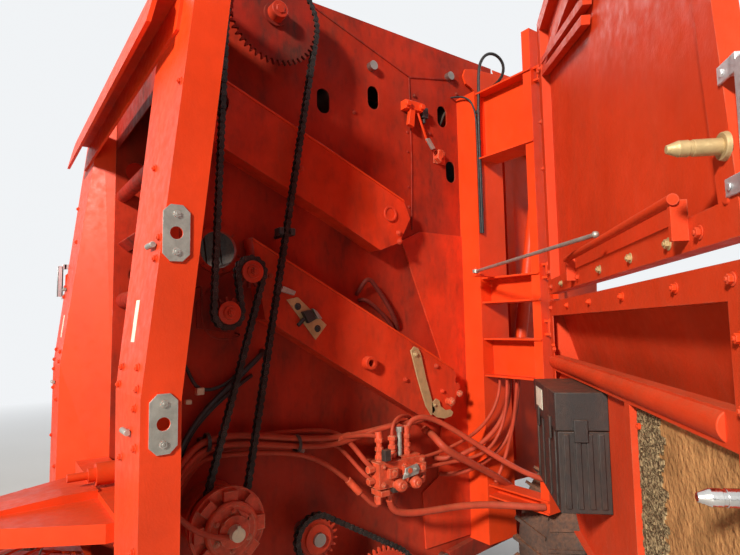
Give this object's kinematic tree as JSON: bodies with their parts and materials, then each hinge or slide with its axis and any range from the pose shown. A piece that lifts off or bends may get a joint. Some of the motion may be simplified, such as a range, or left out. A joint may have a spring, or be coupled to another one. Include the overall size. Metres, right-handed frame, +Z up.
{
  "type": "round baler",
  "caption": "Towed round baler with a belt bale chamber, chain drive, opening side doors, tined pickup and lifting tailgate.",
  "frame": {"origin": "centre of the hitch eye's bore at the front of the drawbar", "axes": "+X forward in the direction of travel, +Y to the left, +Z up"},
  "size_m": [4.4839, 3.7547, 2.96],
  "materials": {
    "paint_red": "semi-gloss, dusty",
    "paint_dark_red": "satin, dusty",
    "steel_worn": "worn by crop",
    "steel_zinc": "zinc plated, dull",
    "chain_oiled": "black and oily",
    "belt_rubber": "matt ribbed",
    "hose_rubber": "matt",
    "tyre_rubber": "matt, dusty",
    "rim_silver": "satin",
    "box_plastic": "grained"
  },
  "bodies": {
    "frame": {"side_plate_left": "paint_dark_red", "side_plate_right": "paint_dark_red", "front_post_left": "paint_red", "front_post_right": "paint_red", "front_beam": "paint_red", "cross_tubes": "paint_dark_red", "rear_post_left": "paint_red", "rear_post_right": "paint_red", "side_channels": "paint_red", "top_cover": "paint_red", "net_box": "paint_dark_red", "chamber_rollers": "steel_worn", "belts": "belt_rubber", "top_sprocket": "paint_red", "small_sprockets": "paint_red", "drive_hub": "paint_red", "main_chain": "chain_oiled", "lower_drive": "paint_red", "valve_block": "steel_zinc", "hoses": "hose_rubber", "gearbox": "paint_red", "drawbar": "paint_red", "axle": "paint_dark_red"},
    "upper_door_left": {"upper_door_left": "paint_red"},
    "door_stay": {"door_stay": "steel_zinc"},
    "lower_door_left": {"lower_door_left": "paint_red", "toolbox": "box_plastic"},
    "upper_door_right": {"upper_door_right": "paint_red"},
    "lower_door_right": {"lower_door_right": "paint_red"},
    "tailgate": {"tailgate_shell": "paint_red", "tailgate_frame": "paint_red", "tailgate_belts": "belt_rubber"},
    "barrel_left": {"barrel_left": "paint_red"},
    "barrel_right": {"barrel_right": "paint_red"},
    "rod_left": {"rod_left": "steel_zinc"},
    "rod_right": {"rod_right": "steel_zinc"},
    "wheel_left": {"tyre_left": "tyre_rubber", "rim_left": "rim_silver"},
    "wheel_right": {"tyre_right": "tyre_rubber", "rim_right": "rim_silver"},
    "pickup": {"pickup_frame": "paint_red", "wind_guard": "paint_red"},
    "pickup_reel": {"pickup_reel": "steel_worn"},
    "gauge_wheel_left": {"gauge_wheel_left": "tyre_rubber"},
    "gauge_wheel_right": {"gauge_wheel_right": "tyre_rubber"},
    "feed_rotor": {"feed_rotor": "steel_worn"},
    "jack_leg": {"jack_leg": "steel_zinc"}
  },
  "joints": [
    {"name": "upper_door_left_hinge", "type": "hinge", "parent": "frame", "child": "upper_door_left", "pos_m": [-3.235, 1.11, 0], "axis": [0, 0, 1], "range_deg": [-46, 0]},
    {"name": "door_stay_pivot", "type": "hinge", "parent": "frame", "child": "door_stay", "pos_m": [-3.075, 0.812, 1.112], "axis": [0, 0, 1], "range_deg": [-47.6, 0]},
    {"name": "lower_door_left_hinge", "type": "hinge", "parent": "frame", "child": "lower_door_left", "pos_m": [-3.235, 1.11, 0], "axis": [0, 0, 1], "range_deg": [-46, 44]},
    {"name": "upper_door_right_hinge", "type": "hinge", "parent": "frame", "child": "upper_door_right", "pos_m": [-3.235, -1.11, 0], "axis": [0, 0, -1], "range_deg": [0, 90]},
    {"name": "lower_door_right_hinge", "type": "hinge", "parent": "frame", "child": "lower_door_right", "pos_m": [-3.235, -1.11, 0], "axis": [0, 0, -1], "range_deg": [0, 90]},
    {"name": "tailgate_hinge", "type": "hinge", "parent": "frame", "child": "tailgate", "pos_m": [-3.28, 0, 2.21], "axis": [0, 1, 0], "range_deg": [0, 65]},
    {"name": "barrel_left_pivot", "type": "hinge", "parent": "frame", "child": "barrel_left", "pos_m": [-3.51, 0.69, 0.66], "axis": [0, 1, 0], "range_deg": [0, 6]},
    {"name": "rod_left_slide", "type": "slide", "parent": "barrel_left", "child": "rod_left", "axis": [-0.2137, 0, 0.9769], "range_m": [0, 0.607]},
    {"name": "barrel_right_pivot", "type": "hinge", "parent": "frame", "child": "barrel_right", "pos_m": [-3.51, -0.69, 0.66], "axis": [0, 1, 0], "range_deg": [0, 6]},
    {"name": "rod_right_slide", "type": "slide", "parent": "barrel_right", "child": "rod_right", "axis": [-0.2137, 0, 0.9769], "range_m": [0, 0.607]},
    {"name": "wheel_left_spin", "type": "hinge", "parent": "frame", "child": "wheel_left", "pos_m": [-3.66, 1.03, -0.21], "axis": [0, 1, 0], "continuous": true},
    {"name": "wheel_right_spin", "type": "hinge", "parent": "frame", "child": "wheel_right", "pos_m": [-3.66, -1.03, -0.21], "axis": [0, 1, 0], "continuous": true},
    {"name": "pickup_lift", "type": "hinge", "parent": "frame", "child": "pickup", "pos_m": [-1.725, 0, -0.31], "axis": [0, -1, 0], "range_deg": [0, 9]},
    {"name": "pickup_reel_spin", "type": "hinge", "parent": "pickup", "child": "pickup_reel", "pos_m": [-1.29, 0, -0.315], "axis": [0, 1, 0], "continuous": true},
    {"name": "gauge_wheel_left_spin", "type": "hinge", "parent": "pickup", "child": "gauge_wheel_left", "pos_m": [-1.42, 1.092, -0.49], "axis": [0, 1, 0], "continuous": true},
    {"name": "gauge_wheel_right_spin", "type": "hinge", "parent": "pickup", "child": "gauge_wheel_right", "pos_m": [-1.42, -1.092, -0.49], "axis": [0, 1, 0], "continuous": true},
    {"name": "feed_rotor_spin", "type": "hinge", "parent": "frame", "child": "feed_rotor", "pos_m": [-1.815, 0, -0.19], "axis": [0, 1, 0], "continuous": true},
    {"name": "jack_slide", "type": "slide", "parent": "frame", "child": "jack_leg", "axis": [0, 0, 1], "range_m": [-0.12, 0]}
  ],
  "couplings": [
    {"joint": "barrel_left_pivot", "follows": "tailgate_hinge", "ratio": 0.0834},
    {"joint": "rod_left_slide", "follows": "tailgate_hinge", "m_per_rad": 0.5304},
    {"joint": "barrel_right_pivot", "follows": "tailgate_hinge", "ratio": 0.0834},
    {"joint": "rod_right_slide", "follows": "tailgate_hinge", "m_per_rad": 0.5304},
    {"joint": "door_stay_pivot", "follows": "upper_door_left_hinge", "ratio": 1.03}
  ]
}
